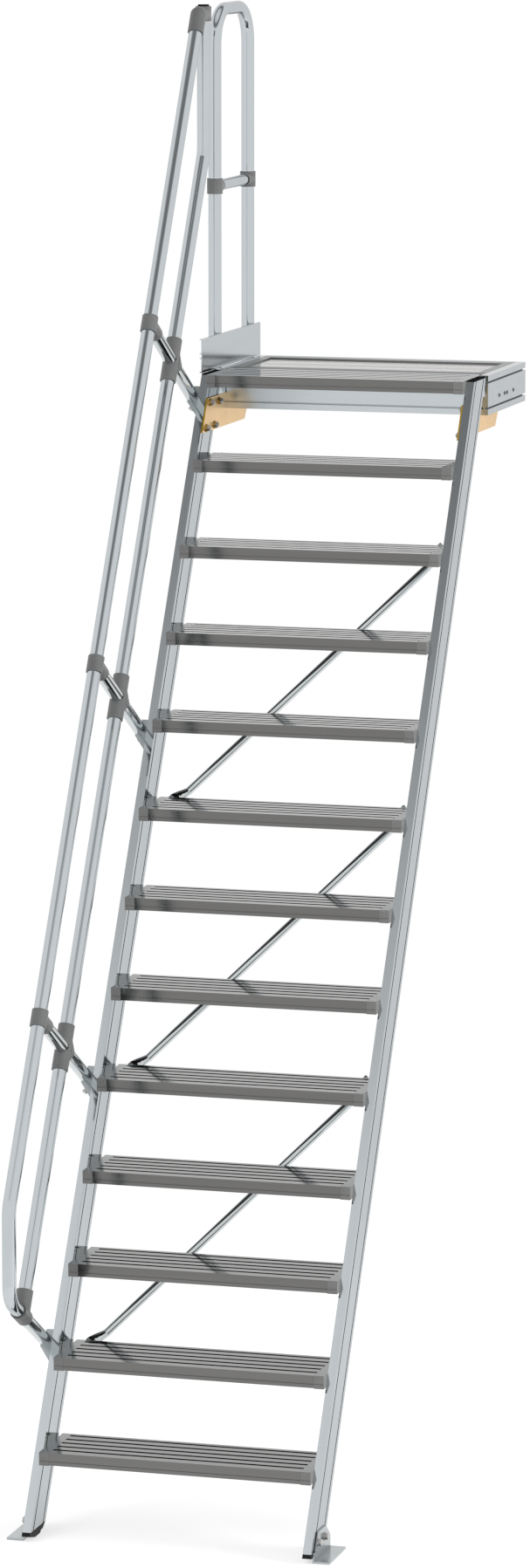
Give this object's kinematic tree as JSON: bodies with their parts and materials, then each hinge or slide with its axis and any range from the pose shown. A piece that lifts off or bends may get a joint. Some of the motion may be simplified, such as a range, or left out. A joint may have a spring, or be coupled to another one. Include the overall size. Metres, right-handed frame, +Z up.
{
  "type": "platform stair",
  "caption": "Steep aluminium platform stair with hollow ribbed treads, a small top platform, a two-tube handrail on one side and a guard rail loop.",
  "frame": {"origin": "centre of the underside of the right floor bracket's flange", "axes": "+X across the stair to its right, +Y from the front towards the wall at the top, +Z up"},
  "size_m": [0.952, 2.4876, 4.264],
  "materials": {
    "frame": "satin extruded",
    "treads": "ribbed satin",
    "deck": "ribbed satin",
    "deck_edges": "satin extruded",
    "rails": "satin drawn tube",
    "braces": "satin drawn tube",
    "toe_board": "satin extruded",
    "clamps": "moulded grey",
    "brackets": "satin",
    "tread_caps": "moulded grey",
    "black_plastic": "moulded black",
    "rubber": "matt",
    "yellow_plates": "yellow passivated"
  },
  "bodies": {
    "root": {"bottom_connector": "clamps", "braces": "braces", "deck_edge_front": "deck_edges", "deck_edge_rear": "deck_edges", "deck_edges_side": "deck_edges", "deck_planks": "deck", "floor_bracket_left": "brackets", "floor_bracket_right": "brackets", "guard_clamps": "clamps", "guard_cross_tube": "rails", "guard_rail": "rails", "guard_rail_saddles": "brackets", "handrail": "rails", "knee_rail": "rails", "knee_rail_clamps": "clamps", "left_stringer": "frame", "lower_struts": "rails", "platform_beam_front": "frame", "platform_beam_rear": "frame", "platform_bracket_left": "yellow_plates", "platform_bracket_right": "yellow_plates", "platform_side_left": "frame", "platform_side_right": "frame", "platform_tread": "treads", "right_stringer": "frame", "rubber_feet": "rubber", "stringer_caps": "black_plastic", "strut_seats": "brackets", "toe_board": "toe_board", "top_connector": "clamps", "top_plug": "black_plastic", "tread_01": "treads", "tread_02": "treads", "tread_03": "treads", "tread_04": "treads", "tread_05": "treads", "tread_06": "treads", "tread_07": "treads", "tread_08": "treads", "tread_09": "treads", "tread_10": "treads", "tread_11": "treads", "tread_12": "treads", "tread_caps_left": "tread_caps", "tread_caps_right": "tread_caps", "upper_rail_clamps": "clamps", "upper_struts": "rails"}
  },
  "joints": []
}
